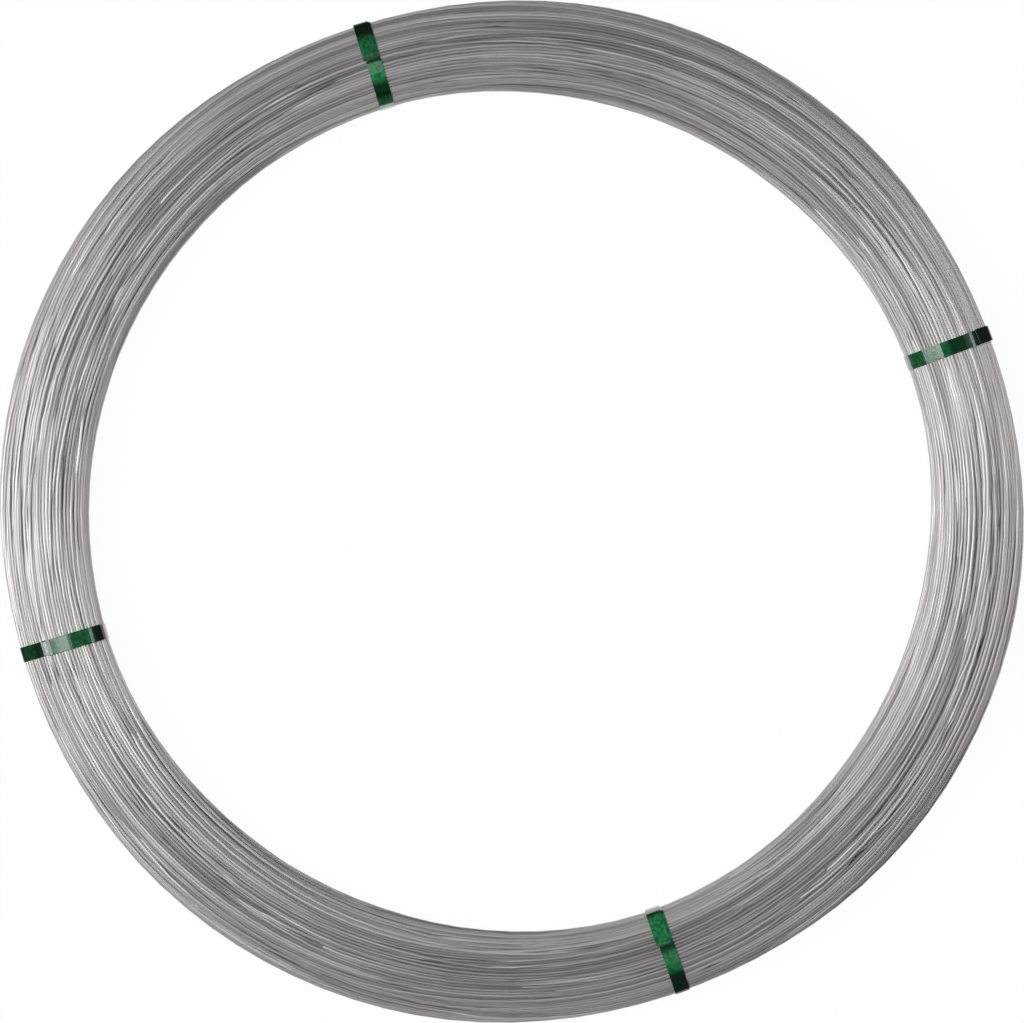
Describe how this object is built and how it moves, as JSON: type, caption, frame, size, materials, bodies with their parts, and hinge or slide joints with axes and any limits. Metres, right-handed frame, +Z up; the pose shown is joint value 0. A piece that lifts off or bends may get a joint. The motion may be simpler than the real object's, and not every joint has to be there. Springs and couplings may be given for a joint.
{
  "type": "coil of galvanised steel wire",
  "caption": "Flat-lying round coil of drawn, zinc-coated steel wire with an open eye, its loose turns drawn tight into a bundle by narrow green plastic straps.",
  "frame": {"origin": "on the floor, under the middle of the coil's eye", "axes": "+Z up along the coil's axis, +X and +Y in the floor, +Y towards the top of a view from straight above"},
  "size_m": [0.6129, 0.612, 0.0545],
  "materials": {
    "galvanised_wire": "drawn wire with a bright, slightly dulled zinc coating",
    "strap": "glossy green polyester strapping, welded at the lap"
  },
  "bodies": {
    "root": {"wire_coil": "galvanised_wire", "strap_right": "strap", "strap_top": "strap", "strap_left": "strap", "strap_bottom": "strap"}
  },
  "joints": []
}
